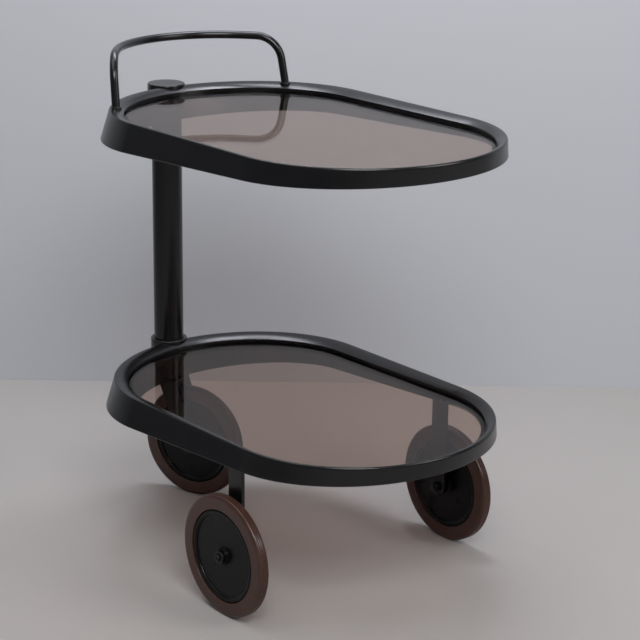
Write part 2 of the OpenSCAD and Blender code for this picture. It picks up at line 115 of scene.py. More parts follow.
class HandleSizes(bpy.types.PropertyGroup):
    radius: length("Tube radius", "Radius of the handle tube", 0.00615)
    rise: length("Handle rise", "Height of the grip's axis above the rim", 0.071)
    foot_x: length("Foot distance", "Distance from the post's axis to the handle's feet", 0.096)
    foot_y: length("Half foot spacing", "Half the distance between the handle's feet", 0.160)
    corner: length("Corner radius", "Bend radius of the handle's corners", 0.042)
    grip: length("Grip radius", "Bend radius of the grip", 0.157)
    socket: length("Socket depth", "Depth of the handle's sockets in the rim", 0.012)
    lean: bpy.props.FloatProperty(name="Lean", description="Lean of the handle's sides to the back",
                                  default=math.radians(10), subtype="ANGLE", unit="ROTATION")
    draw_in: bpy.props.FloatProperty(name="Draw in", description="Lean of the sides to each other",
                                     default=math.radians(3.7), subtype="ANGLE", unit="ROTATION")
    grip_angle: bpy.props.FloatProperty(name="Grip angle", description="Angle of the grip's ends",
                                        default=math.radians(50), subtype="ANGLE", unit="ROTATION")


class WheelSizes(bpy.types.PropertyGroup):
    radius: length("Wheel radius", "Radius of every wheel", 0.090)
    half_tyre: length("Half tyre width", "Half the width of the tyre", 0.0085)
    shoulder: length("Shoulder depth", "Depth of the tyre's shoulder towards the axle", 0.0075)
    shoulder_width: length("Shoulder width", "Width of the tyre's shoulder along the axle", 0.004)
    groove: length("Groove depth", "Depth and half width of a tread groove", 0.0008)
    groove_pitch: length("Groove pitch", "Distance from one groove to the next", 0.0032)
    disc: length("Disc radius", "Radius of the disc inside the tyre", 0.0685)
    half_rim: length("Half rim width", "Half the width of the disc's rim bead", 0.0075)
    rim_depth: length("Rim depth", "Radial depth of the rim bead", 0.008)
    half_web: length("Half web", "Half the thickness of the disc's flat web", 0.0045)
    hub: length("Hub radius", "Radius of the disc's hub", 0.012)
    bush: length("Bush radius", "Radius of the bush in the hub", 0.0071)
    marks: bpy.props.IntProperty(name="Rim marks", description="Moulded pips round the web",
                                 default=6, min=0, max=24)


class LegSizes(bpy.types.PropertyGroup):
    width: length("Leg width", "Width of the leg plates", 0.030)
    thick: length("Leg thickness", "Thickness of the leg plates", 0.006)
    fork_gap: length("Fork gap", "Gap from the tyre to the fork's side plates", 0.006)
    fork_width: length("Fork width", "Width of the fork's side plates", 0.032)
    fork_thick: length("Fork thickness", "Thickness of the fork's plates", 0.005)
    edge: length("Soft edge", "Radius of the plates' edges", 0.0007)


class CartColours(bpy.types.PropertyGroup):
    paint: colour("Frame paint", "Satin black of the frames, post, handle, legs and fork", "0E0E10")
    glass: colour("Glass tint", "Colour that the smoked glass gives to light", "C0ABA0")
    tyre: colour("Tyre rubber", "Brown rubber of the tyres", "43281F")
    disc: colour("Wheel disc", "Black plastic of the wheel discs", "0A0B0C")
    metal: colour("Fasteners", "Blackened steel of axles, nuts and screws", "3C3D40")
    nylon: colour("Nylon", "Black nylon of bushes and washers", "202022")
    seal: colour("Seal", "Rubber of the glass seals", "121212")
    floor: colour("Floor", "Pale floor", "A29E9C")
    wall: colour("Wall", "Pale wall", "B9BBC0")


# ---------------------------------------------------------------- materials

# The noise values between which a grain goes from one end of its range to the other
NOISE_SPAN = {"From Min": 0.3, "From Max": 0.7}
# How much coarser the broad patches are than the fine grain
PATCH_SCALE = 0.03


def add_node(tree, kind, settings=(), links=()):
    """Adds a node to a material, with its fields and sockets set and its inputs linked."""
    node = tree.nodes.new(kind)
    for key, value in dict(settings).items():
        if isinstance(key, str) and hasattr(node, key):
            setattr(node, key, value)
        else:
            node.inputs[key].default_value = value
    for key, source in dict(links).items():
        tree.links.new(source, node.inputs[key])
    return node


def new_material(name):
    """An empty node material, or None with the one of that name if it is there already."""
    if name in bpy.data.materials:
        return bpy.data.materials[name], None
    mat = bpy.data.materials.new(name)
    mat.use_nodes = True
    mat.node_tree.nodes.clear()
    return mat, mat.node_tree


def grained(tree, tint, grain, darker, rough, bump, shader, stretch=(1, 1, 1)):
    """A surface whose colour, roughness and height follow a grain of a real size in metres."""
    place = add_node(tree, "ShaderNodeTexCoord").outputs["Object"]
    place = add_node(tree, "ShaderNodeMapping", {"Scale": stretch}, {"Vector": place}).outputs[0]
    fine = add_node(tree, "ShaderNodeTexNoise", {"Scale": 1 / grain, "Detail": 3},
                    {"Vector": place})
    broad = add_node(tree, "ShaderNodeTexNoise", {"Scale": PATCH_SCALE / grain, "Detail": 4},
                     {"Vector": place})
    shade = [c * darker for c in tint[:3]] + [1]
    mixed = add_node(tree, "ShaderNodeMapRange", NOISE_SPAN, {"Value": broad.outputs[0]})
    base = add_node(tree, "ShaderNodeMix", {"data_type": "RGBA", 6: shade, 7: tint},
                    {0: mixed.outputs[0]})
    worn = add_node(tree, "ShaderNodeMapRange",
                    {**NOISE_SPAN, "To Min": rough[0], "To Max": rough[1]},
                    {"Value": broad.outputs[0]})
    sockets = {"Base Color": base.outputs[2], "Roughness": worn.outputs[0]}
    if bump:
        relief = add_node(tree, "ShaderNodeBump", {"Strength": 1.0, "Distance": bump},
                          {"Height": fine.outputs[0]})
        sockets["Normal"] = relief.outputs[0]
    body = add_node(tree, "ShaderNodeBsdfPrincipled", shader, sockets)
    add_node(tree, "ShaderNodeOutputMaterial", {}, {"Surface": body.outputs[0]})
    return body


def satin_black_paint():
    # Baked satin enamel on cast and bent metal: near black, soft blurred gloss, faint orange peel
    mat, tree = new_material("satin_black_enamel")
    if tree:
        tint = bpy.context.scene.cart_colours.paint
        grained(tree, tint, 1.2 * MM, 0.85, (0.22, 0.27), 0.005 * MM,
                {"IOR": 1.5, "Specular IOR Level": 0.4})
    return mat


def smoked_glass():
    # Brown-grey float glass: clear mirror gloss, an even dark tint, faint wiping marks
    # The cart's panes mirror weakly, so the IOR is under the 1.5 of bare glass
    mat, tree = new_material("smoked_float_glass")
    if tree:
        tint = bpy.context.scene.cart_colours.glass
        grained(tree, tint, 6 * MM, 0.97, (0.0, 0.02), 0.0,
                {"IOR": 1.2, "Transmission Weight": 1.0})
    return mat


def brown_tyre_rubber():
    # Moulded solid rubber: dull brown with a soft sheen on the shoulders and a fine mould grain
    mat, tree = new_material("brown_tyre_rubber")
    if tree:
        tint = bpy.context.scene.cart_colours.tyre
        grained(tree, tint, 0.7 * MM, 0.72, (0.28, 0.38), 0.006 * MM, {"IOR": 1.52})
    return mat


def gloss_black_plastic():
    # Injection-moulded black ABS: smooth, half gloss, slightly blurred by handling
    mat, tree = new_material("gloss_black_abs")
    if tree:
        tint = bpy.context.scene.cart_colours.disc
        grained(tree, tint, 0.8 * MM, 0.85, (0.26, 0.34), 0.004 * MM,
                {"IOR": 1.5, "Specular IOR Level": 0.2})
    return mat


def blackened_steel():
    # Turned steel with a dark zinc finish: metallic, with fine turning lines across the grain
    mat, tree = new_material("blackened_steel")
    if tree:
        tint = bpy.context.scene.cart_colours.metal
        grained(tree, tint, 0.5 * MM, 0.6, (0.26, 0.42), 0.004 * MM, {"Metallic": 1.0},
                stretch=(1, 6, 1))
    return mat


def black_nylon():
    # Turned black nylon: matt, waxy, with a little unevenness
    mat, tree = new_material("turned_black_nylon")
    if tree:
        tint = bpy.context.scene.cart_colours.nylon
        grained(tree, tint, 0.6 * MM, 0.8, (0.45, 0.6), 0.006 * MM, {"IOR": 1.53})
    return mat


def seal_rubber():
    # Soft extruded rubber under the glass: black and dull
    # It is wetted to the glass above it, so it has no mirror sheen of its own
    mat, tree = new_material("extruded_seal_rubber")
    if tree:
        tint = bpy.context.scene.cart_colours.seal
        grained(tree, tint, 0.5 * MM, 0.8, (0.7, 0.85), 0.008 * MM,
                {"IOR": 1.5, "Specular IOR Level": 0.0})
    return mat


FINISHES = {
    "black_metal": satin_black_paint,
    "smoked_glass": smoked_glass,
    "seal_rubber": seal_rubber,
    "wheel_disc": gloss_black_plastic,
    "tyre_rubber": brown_tyre_rubber,
    "nylon": black_nylon,
    "dark_steel": blackened_steel,
}


# ---------------------------------------------------------------- modelling

SAME_POINT = 0.00001


def clear_selection():
    """Leaves edit mode and deselects every object."""
    if bpy.context.object and bpy.context.object.mode != "OBJECT":
        bpy.ops.object.mode_set(mode="OBJECT")
    bpy.ops.object.select_all(action="DESELECT")


def pick(obj):
    """Makes one object the selected and active one."""
    clear_selection()
    obj.select_set(True)
    bpy.context.view_layer.objects.active = obj


def outline(name, points):
    """A closed loop of edges: a circle whose vertices are set on the points."""
    clear_selection()
    bpy.ops.mesh.primitive_circle_add(vertices=len(points), radius=0.01)
    obj = bpy.context.object
    obj.name = name
    for vert, point in zip(obj.data.vertices, points):
        vert.co = point
    return obj


def even_shading(obj, smooth=35):
    """Shades a piece smooth, with its large flat faces kept flat."""
    pick(obj)
    bpy.ops.object.shade_smooth_by_angle(angle=math.radians(smooth))
    weights = obj.modifiers.new("flat faces", "WEIGHTED_NORMAL")
    weights.keep_sharp = True
    bpy.ops.object.modifier_apply(modifier=weights.name)


def tidy_mesh(smooth=35):
    """From edit mode, merges doubles, turns the faces outwards and shades the mesh smooth."""
    bpy.ops.mesh.select_all(action="SELECT")
    bpy.ops.mesh.remove_doubles(threshold=SAME_POINT)
    bpy.ops.mesh.dissolve_degenerate(threshold=SAME_POINT)
    bpy.ops.mesh.normals_make_consistent(inside=False)
    bpy.ops.object.mode_set(mode="OBJECT")
    even_shading(bpy.context.object, smooth)


def turned(name, profile, centre, axis, steps=96, smooth=35):
    """Spins a closed section, given as (radius, place along the axis), round an axis."""
    axis = Vector(axis).normalized()
    side = axis.orthogonal().normalized()
    obj = outline(name, [centre + side * r + axis * h for r, h in profile])
    bpy.ops.object.mode_set(mode="EDIT")
    bpy.ops.mesh.select_all(action="SELECT")
    bpy.ops.mesh.spin(steps=steps, angle=2 * math.pi, center=centre, axis=axis)
    tidy_mesh(smooth)
    return obj


def plate(name, points, depth, edge):
    """Fills an outline, pulls it out by the depth vector and softens its edges."""
    obj = outline(name, points)
    bpy.ops.object.mode_set(mode="EDIT")
    bpy.ops.mesh.select_all(action="SELECT")
    bpy.ops.mesh.edge_face_add()
    bpy.ops.mesh.extrude_region_move(TRANSFORM_OT_translate={"value": depth})
    bpy.ops.mesh.select_all(action="SELECT")
    bpy.ops.mesh.normals_make_consistent(inside=False)
    bpy.ops.object.mode_set(mode="OBJECT")
    soften(obj, edge)
    return obj


def soften(obj, edge, segments=3):
    """Rounds the sharp edges of a piece and shades it smooth."""
    pick(obj)
    bevel = obj.modifiers.new("soft edges", "BEVEL")
    bevel.width = edge
    bevel.segments = segments
    bevel.limit_method = "ANGLE"
    bevel.angle_limit = math.radians(40)
    bpy.ops.object.modifier_apply(modifier=bevel.name)
    even_shading(obj)


def copied(obj, name, move):
    """A copy of a finished piece with its own mesh, moved by a matrix that is then applied."""
    pick(obj)
    bpy.ops.object.duplicate(linked=False)
    copy = bpy.context.object
    copy.name = name
    copy.matrix_world = move
    bpy.ops.object.transform_apply(location=True, rotation=True, scale=True)
    return copy


def joined(name, pieces):
    """Several pieces as one."""
    pick(pieces[0])
    for piece in pieces[1:]:
        piece.select_set(True)
    bpy.ops.object.join()
    pieces[0].name = name
    return pieces[0]


def dress(obj, slot, body, *nodes):
    """Gives a piece its finish and its body, and hides the CAD nodes that it stands for."""
    obj.data.materials.clear()
    obj.data.materials.append(FINISHES[slot]())
    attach(obj, body)
    if nodes:
        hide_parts(*nodes)


def across():
    """Half a turn about the upright line midway between the front wheels."""
    pivot = Matrix.Translation((WHEEL_X, 0, 0))
    return pivot @ Matrix.Rotation(math.pi, 4, "Z") @ pivot.inverted()


def arc(centre, radius_a, radius_b, start, end, steps):
    """Points of an elliptical arc in a plane, angles in degrees."""
    angles = [math.radians(start + (end - start) * i / steps) for i in range(steps + 1)]
    return [(centre[0] + radius_a * math.cos(a), centre[1] + radius_b * math.sin(a))
            for a in angles]


# ---------------------------------------------------------------- trays

# How far each rail stands off from the rim: back end, back sides, front sides, front end
RIM = (0, 0, 0, 0)
SHOULDER = (0.0025, 0.0025, 0.0025, 0.0025)
SKIRT = (0.012, 0.0155, 0.0083, -0.0005)
GLASS = (-0.017, -0.0215, -0.0145, -0.011)
FOOT = (-0.0505, -0.026, -0.010, -0.009)
RIM_ROUND = 0.004
HEM_ROUND = 0.0015
BULGE_CURVE = 1.8
BULGE_STEPS = 12
BULGE_LIP = 0.0006
GLASS_LIP = 0.001
LEDGE_WIDTH = 0.006
LEDGE_THICK = 0.0035
SEAL_THICK = 0.001
GLASS_GAP = 0.0012
FRAME_STEP = 2.5
PANE_STEP = 2
BOSS_SUNK = 0.002
FERRULE_WALL = 0.0022
FERRULE_RISE = 0.0006
FERRULE_DEPTH = 0.012
FERRULE_EDGE = 0.0008
POST_WALL = 0.002
POST_EDGE = 0.0006


def tray_stations(step):
    """Angles round the plan, each with True on the front end."""
    count = int(180 / step)
    return ([(-90 + i * step, True) for i in range(count + 1)]
            + [(90 + i * step, False) for i in range(count + 1)])


def tray_point(off, station):
    """Point of a rail on the tray's plan, in the cart's frame."""
    s = bpy.context.scene.tray_sizes
    angle, front = math.radians(station[0]), station[1]
    if front:
        x = s.front - s.front_round + (s.front_round + off[3]) * math.cos(angle)
        y = (s.half_front + off[2]) * math.sin(angle)
    else:
        x = s.back + s.back_round + (s.back_round + off[0]) * math.cos(angle)
        y = (s.half_back + off[1]) * math.sin(angle)
    return Vector((POST_X + x, y, 0))


def inset(off, width):
    """A rail further in by a width."""
    return tuple(o - width for o in off)


def tray_section(station):
    """Closed section of the frame at one station: rim, shoulder, skirt, foot, ledge and bulge."""
    s = bpy.context.scene.tray_sizes
    rim, shoulder = tray_point(RIM, station), tray_point(SHOULDER, station)
    skirt, glass = tray_point(SKIRT, station), tray_point(GLASS, station)
    ledge, foot = tray_point(inset(GLASS, LEDGE_WIDTH), station), tray_point(FOOT, station)
    skirt_in = tray_point(inset(SKIRT, HEM_ROUND), station)
    slope = (s.skirt_back - s.skirt_front) / s.front
    seal_z = -s.glass_drop - s.glass_thick - SEAL_THICK

    def hem(point):
        return -s.skirt_back + slope * (point.x - POST_X)

    points = []
    for out, up in arc((0, 0), 1, 1, 90, 0, 6):
        points.append(rim.lerp(shoulder, out) + UP * RIM_ROUND * (up - 1))
    high, low = shoulder - UP * RIM_ROUND, skirt + UP * (hem(skirt) + HEM_ROUND)
    for k in (0.25, 0.5, 0.75):
        points.append(high.lerp(low, k))
    for out, up in arc((0, 0), 1, 1, 0, -90, 4):
        points.append(skirt_in.lerp(skirt, out) + UP * (hem(skirt) + HEM_ROUND * (1 + up)))
    for k in (0.33, 0.67, 1):
        under = skirt_in.lerp(foot, k)
        points.append(under + UP * hem(under))
    points.append(ledge + UP * (seal_z - LEDGE_THICK))
    points.append(ledge + UP * seal_z)
    points.append(glass + UP * seal_z)
    points.append(glass - UP * (s.glass_drop + GLASS_LIP))
    points.append(glass - UP * (s.bulge_drop + BULGE_LIP))
    for i in range(BULGE_STEPS, 0, -1):
        k = i / BULGE_STEPS
        points.append(rim.lerp(glass, k) - UP * s.bulge_drop * k ** BULGE_CURVE)
    return points


def tray_frame(name, rim_z):
    """Cast tray frame: a grid wrapped round the plan, one row for each station's section."""
    # The width, depth and flare of this ring change all the way round, which no spin can follow
    rows = [tray_section(station) for station in tray_stations(FRAME_STEP)]
    rows.append(rows[0])
    clear_selection()
    bpy.ops.mesh.primitive_grid_add(x_subdivisions=len(rows[0]), y_subdivisions=len(rows) - 1,
                                    size=1)
    obj = bpy.context.object
    obj.name = name
    wide = len(rows[0]) + 1
    for i, vert in enumerate(obj.data.vertices):
        row = rows[i // wide]
        vert.co = row[i % wide % len(row)] + UP * rim_z
    bpy.ops.object.mode_set(mode="EDIT")
    tidy_mesh(28)
    return obj


def boss(name, low, high):
    """Round boss about the post with a rounded upper edge."""
    s = bpy.context.scene.post_sizes
    e = s.boss_edge
    profile = [(0, low), (s.boss, low)] + arc((s.boss - e, high - e), e, e, 0, 90, 8) + [(0, high)]
    return turned(name, profile, Vector((POST_X, 0, 0)), UP)


class BARCART_OT_trays(bpy.types.Operator):
    """Models both tray frames with the bosses round the post and the handle's ferrules"""
    bl_idname = "barcart.trays"
    bl_label = "Tray frames"

    def execute(self, context):
        scene = context.scene
        tray, post, handle = scene.tray_sizes, scene.post_sizes, scene.handle_sizes
        upper = tray_frame("upper_tray_frame", tray.upper_rim)
        dress(upper, "black_metal", "cart", "upper_frame")
        lower = tray_frame("lower_tray_frame", tray.lower_rim)
        dress(lower, "black_metal", "cart", "lower_frame")
        top = tray.upper_rim
        cap = boss("upper_boss", top - tray.skirt_back + BOSS_SUNK, top + post.boss_rise)
        dress(cap, "black_metal", "cart")
        top = tray.lower_rim
        collar = boss("lower_collar", top - tray.skirt_back - post.collar_drop,
                      top + post.boss_rise)
        dress(collar, "black_metal", "cart")
        foot_z = tray.upper_rim + FERRULE_RISE
        r, e = handle.radius + FERRULE_WALL, FERRULE_EDGE
        ring = ([(0, foot_z - FERRULE_DEPTH), (r, foot_z - FERRULE_DEPTH)]
                + arc((r - e, foot_z - e), e, e, 0, 90, 4) + [(0, foot_z)])
        for side, y in (("left", handle.foot_y), ("right", -handle.foot_y)):
            place = Vector((POST_X + handle.foot_x, y, 0))
            dress(turned("handle_ferrule_" + side, ring, place, UP, 48), "black_metal", "cart")
        return {"FINISHED"}


class BARCART_OT_panes(bpy.types.Operator):
    """Cuts the two smoked glass panes with ground edges"""
    bl_idname = "barcart.panes"
    bl_label = "Glass panes"

    def execute(self, context):
        s = context.scene.tray_sizes
        for level, rim_z in (("upper", s.upper_rim), ("lower", s.lower_rim)):
            top = rim_z - s.glass_drop - s.glass_thick
            points = [tray_point(inset(GLASS, GLASS_GAP), station) + UP * top
                      for station in tray_stations(PANE_STEP)]
            pane = plate(level + "_pane", points, UP * s.glass_thick, s.glass_edge)
            dress(pane, "smoked_glass", "cart", level + "_glass")
        return {"FINISHED"}


class BARCART_OT_post(bpy.types.Operator):
    """Models the round post"""
    bl_idname = "barcart.post"
    bl_label = "Post"

    def execute(self, context):
        s = context.scene.post_sizes
        low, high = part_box("post_tube")
        e, bore = POST_EDGE, s.radius - POST_WALL
        profile = ([(bore, low[2])] + arc((s.radius - e, low[2] + e), e, e, -90, 0, 3)
                   + [(s.radius, high[2]), (bore, high[2])])
        post = turned("post", profile, Vector((POST_X, 0, 0)), UP, 128)
        dress(post, "black_metal", "cart", "post_tube")
        return {"FINISHED"}


# ---------------------------------------------------------------- handle

def bend(start, corner, after, radius):
    """Where a bend of a radius starts and ends at a corner, its centre, its axis and its angle."""
    u, v = (corner - start).normalized(), (after - corner).normalized()
    angle = u.angle(v)
    reach = radius * math.tan(angle / 2)
    inward = (v - u * u.dot(v)).normalized()
    begin = corner - u * reach
    return begin, corner + v * reach, begin + inward * radius, u.cross(inward), angle


class BARCART_OT_handle(bpy.types.Operator):
    """Bends the handle from one tube: two corners and a wide grip"""
    bl_idname = "barcart.handle"
    bl_label = "Handle"

    def execute(self, context):
        s, rim_z = context.scene.handle_sizes, context.scene.tray_sizes.upper_rim
        feet, corners, ends = [], [], []
        for side in (1, -1):
            way = Vector((-math.tan(s.lean), -side * math.tan(s.draw_in), 1))
            foot = Vector((POST_X + s.foot_x, side * s.foot_y, rim_z))
            feet.append(foot)
            corners.append(foot + way * s.rise)
            ends.append(foot - way.normalized() * s.socket)
        reach = corners[0].y
        tip = corners[0] - Vector((math.tan(s.grip_angle) * reach, reach, 0))
        path = [ends[0], corners[0], tip, corners[1], ends[1]]
        clear_selection()
        first = (path[1] - path[0]).normalized()
        bpy.ops.mesh.primitive_circle_add(vertices=32, radius=s.radius, location=path[0],
                                          rotation=first.to_track_quat("Z", "Y").to_euler(),
                                          fill_type="NGON")
        bpy.ops.object.transform_apply(location=True, rotation=True, scale=True)
        obj = bpy.context.object
        obj.name = "handle"
        bpy.ops.object.mode_set(mode="EDIT")
        bpy.ops.mesh.select_all(action="SELECT")
        here = path[0]
        for i, radius, steps in ((1, s.corner, 16), (2, s.grip, 40), (3, s.corner, 16)):
            begin, end, centre, axis, angle = bend(here, path[i], path[i + 1], radius)
            bpy.ops.mesh.extrude_region_move(TRANSFORM_OT_translate={"value": begin - here})
            bpy.ops.mesh.spin(steps=steps, angle=-angle, center=centre, axis=axis)
            here = end
        bpy.ops.mesh.extrude_region_move(TRANSFORM_OT_translate={"value": path[4] - here})
        tidy_mesh(40)
        dress(obj, "black_metal", "cart", "handle_tube")
        return {"FINISHED"}


# ---------------------------------------------------------------- legs and fork

SCREW_HEAD = 0.005
SCREW_RISE = 0.003
SCREW_SOCKET = 0.0022
SOCKET_FLOOR = 0.0004
SCREW_STANDOFF = 0.008
FORK_LEAN = math.radians(22)
BRIDGE_MARGIN = 0.0015


class BARCART_OT_legs(bpy.types.Operator):
    """Cuts the two leg plates with rounded feet and models their screws"""
    bl_idname = "barcart.legs"
    bl_label = "Legs"

    def execute(self, context):
        s, wheel = context.scene.leg_sizes, context.scene.wheel_sizes
        low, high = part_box("leg_left")
        foot = arc((WHEEL_X, wheel.radius), s.width / 2, s.width / 2, 180, 360, 24)
        shape = foot + [(WHEEL_X + s.width / 2, high[2]), (WHEEL_X - s.width / 2, high[2])]
        leg = plate("left_leg", [Vector((x, low[1], z)) for x, z in shape],
                    Vector((0, s.thick, 0)), s.edge)
        dress(leg, "black_metal", "cart", "leg_left")
        dress(copied(leg, "right_leg", across()), "black_metal", "cart", "leg_right")
        heads = []
        head_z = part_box("leg_screws")[1][2] - SCREW_HEAD
        # Button head with a round socket, seen on the inner face of the leg
        profile = ([(0, SOCKET_FLOOR), (SCREW_SOCKET, SOCKET_FLOOR), (SCREW_SOCKET, SCREW_RISE)]
                   + arc((SCREW_SOCKET, 0), SCREW_HEAD - SCREW_SOCKET, SCREW_RISE, 90, 0, 6)
                   + [(0, 0)])
        for x in (-SCREW_STANDOFF, SCREW_STANDOFF):
            head = turned("leg_screw", [(r, -h) for r, h in profile],
                          Vector((WHEEL_X + x, low[1], head_z)), Vector((0, 1, 0)), 36)
            heads += [head, copied(head, "leg_screw", across())]
        dress(joined("leg_screw_heads", heads), "dark_steel", "cart", "leg_screws")
        return {"FINISHED"}


def caster_yaw():
    """Angle by which the caster is turned from straight ahead."""
    return math.atan2(REAR_HUB.y, REAR_HUB.x - POST_X)


def caster_space():
    """Turns the fork's own space, forward along X with the post at 0, into the cart's frame."""
    return Matrix.Translation((POST_X, 0, 0)) @ Matrix.Rotation(caster_yaw(), 4, "Z")


class BARCART_OT_fork(bpy.types.Operator):
    """Cuts and joins the caster fork's two side plates and its bridge"""
    bl_idname = "barcart.fork"
    bl_label = "Caster fork"

    def execute(self, context):
        scene = context.scene
        s, wheel, post = scene.leg_sizes, scene.wheel_sizes, scene.post_sizes
        trail = math.hypot(REAR_HUB.x - POST_X, REAR_HUB.y)
        bridge_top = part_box("caster_fork")[1][2]
        bridge_z = bridge_top - s.fork_thick
        half = s.fork_width / 2
        inner = wheel.half_tyre + s.fork_gap
        down = arc((0, 0), half, half, 180, 360, 28)
        sine, cosine = math.sin(FORK_LEAN), math.cos(FORK_LEAN)
        turn = [(x * cosine - z * sine, x * sine + z * cosine) for x, z in down]
        run = Vector((-sine, 0, cosine))
        shape = [Vector((trail + x, inner, wheel.radius + z)) for x, z in turn]
        for end in (shape[-1], shape[0]):
            rise = (bridge_top - end.z) / run.z
            shape.append(end + run * rise)
        near = plate("fork_side", shape, Vector((0, s.fork_thick, 0)), s.edge)
        far = copied(near, "fork_side_far", Matrix.Translation((0, -2 * inner - s.fork_thick, 0)))
        front = trail - (bridge_z - wheel.radius) * math.tan(FORK_LEAN) + half / cosine
        r = post.radius + BRIDGE_MARGIN
        outer = inner + s.fork_thick
        cut = math.degrees(math.asin(min(1, outer / r)))
        plan = [(front, outer)] + arc((0, 0), r, r, cut, 360 - cut, 48) + [(front, -outer)]
        points = [Vector((x, y, bridge_z)) for x, y in plan]
        bridge = plate("fork_bridge", points, UP * s.fork_thick, s.edge)
        fork = joined("caster_fork_plates", [near, far, bridge])
        fork.matrix_world = caster_space()
        pick(fork)
        bpy.ops.object.transform_apply(location=True, rotation=True, scale=True)
        dress(fork, "black_metal", "caster", "caster_fork")
        return {"FINISHED"}


# ---------------------------------------------------------------- wheels

GROOVE_FLOOR = 0.0002
DISC_GAP = 0.00005
HALF_HUB = 0.009
HUB_EDGE = 0.001
MARK_START = math.radians(46)
MARK_INSET = 0.0035
MARK_RADIUS = 0.0012
NUT_EDGE = 0.0005
CAP_NUT_RADIUS = 0.0058
CAP_NUT_HEIGHT = 0.0022
DOME_RADIUS = 0.0049
DOME_FOOT = 0.0047
DOME_START = 0.001
DOME_SUNK = 0.0003
WASHER_RADIUS = 0.0105
WASHER_BORE = 0.0041
WASHER_THICK = 0.0015
WASHER_EDGE = 0.0004
LOCK_NUT_RADIUS = 0.0075
LOCK_NUT_HEIGHT = 0.0065


def tyre_profile():
    """Closed section of the tyre: seat, inner bevel, flat side, shoulder and grooved tread."""
    s = bpy.context.scene.wheel_sizes
    bevel = s.half_tyre - s.half_rim
    side = arc((s.disc + bevel, s.half_rim), bevel, bevel, 180, 90, 6)
    shoulder = arc((s.radius - s.shoulder, s.half_tyre - s.shoulder_width),
                   s.shoulder, s.shoulder_width, 90, 0, 12)
    upper = side + shoulder
    grooves = []
    for g in (1, 0, -1):
        mid = g * s.groove_pitch
        grooves += [(s.radius, mid + s.groove), (s.radius - s.groove, mid + GROOVE_FLOOR),
                    (s.radius - s.groove, mid - GROOVE_FLOOR), (s.radius, mid - s.groove)]
    return upper + grooves + [(r, -h) for r, h in reversed(upper)]


def disc_profile():
    """Closed section of the wheel disc: rim bead, flat web and hub."""
    s = bpy.context.scene.wheel_sizes
    rim, e = s.disc - DISC_GAP, HUB_EDGE
    bead = arc((rim - s.rim_depth / 2, s.half_web), s.rim_depth / 2, s.half_rim - s.half_web,
               0, 180, 16)
    hub = (arc((s.hub + 2 * e, s.half_web + e), e, e, 270, 180, 4)
           + arc((s.hub, HALF_HUB - e), e, e, 0, 90, 4) + [(s.bush, HALF_HUB)])
    upper = bead + hub
    return upper + [(r, -h) for r, h in reversed(upper)]


class BARCART_OT_wheels(bpy.types.Operator):
    """Turns one wheel, a tyre and a disc with its moulded marks, and copies it twice"""
    bl_idname = "barcart.wheels"
    bl_label = "Wheels"

    def execute(self, context):
        s = context.scene.wheel_sizes
        centre = Vector((WHEEL_X, WHEEL_Y, s.radius))
        across_wheel = Vector((0, 1, 0))
        tyre = turned("front_left_rubber", tyre_profile(), centre, across_wheel, 160, 30)
        disc = turned("front_left_plate", disc_profile(), centre, across_wheel, 128, 30)
        parts = [disc]
        inner = s.disc - s.rim_depth
        for i in range(s.marks):
            angle = MARK_START + 2 * math.pi * i / s.marks
            place = Vector((math.cos(angle), 0, math.sin(angle))) * (inner - MARK_INSET)
            for side in (1, -1):
                clear_selection()
                bpy.ops.mesh.primitive_uv_sphere_add(
                    segments=16, ring_count=8, radius=MARK_RADIUS,
                    location=centre + place + across_wheel * side * s.half_web, scale=(1, 0.5, 1))
                bpy.ops.object.transform_apply(location=True, rotation=True, scale=True)
                bpy.ops.object.shade_smooth()
                parts.append(bpy.context.object)
        disc = joined("front_left_plate", parts)
        rear = (Matrix.Translation(REAR_HUB) @ Matrix.Rotation(caster_yaw(), 4, "Z")
                @ Matrix.Translation(-centre))
        for name, move in (("front_right", across()), ("rear", rear)):
            for part, slot, node in ((tyre, "tyre_rubber", "tyre"), (disc, "wheel_disc", "disc")):
                kind = "_rubber" if node == "tyre" else "_plate"
                dress(copied(part, name + kind, move), slot, name + "_wheel", name + "_" + node)
        dress(tyre, "tyre_rubber", "front_left_wheel", "front_left_tyre")
        dress(disc, "wheel_disc", "front_left_wheel", "front_left_disc")
        return {"FINISHED"}


def hexagon(name, radius, height, centre, axis):
    """Hexagon nut body with its corners chamfered, its flat side at the centre."""
    clear_selection()
    turn = axis.to_track_quat("Z", "X").to_euler()
    bpy.ops.mesh.primitive_cylinder_add(vertices=6, radius=radius, depth=height,
                                        location=centre + axis * height / 2, rotation=turn)
    bpy.ops.object.transform_apply(location=True, rotation=True, scale=True)
    obj = bpy.context.object
    obj.name = name
    soften(obj, NUT_EDGE, 2)
    return obj


def domed_nut(name, centre, axis):
    """Closed nut: a hexagon with a domed end."""
    base = hexagon(name, CAP_NUT_RADIUS, CAP_NUT_HEIGHT, centre, axis)
    dome = ([(0, DOME_START), (DOME_FOOT, DOME_START)]
            + arc((0, -DOME_SUNK), DOME_RADIUS, DOME_RADIUS, 24, 90, 10))
    return joined(name, [base, turned(name, dome, centre, axis, 48)])


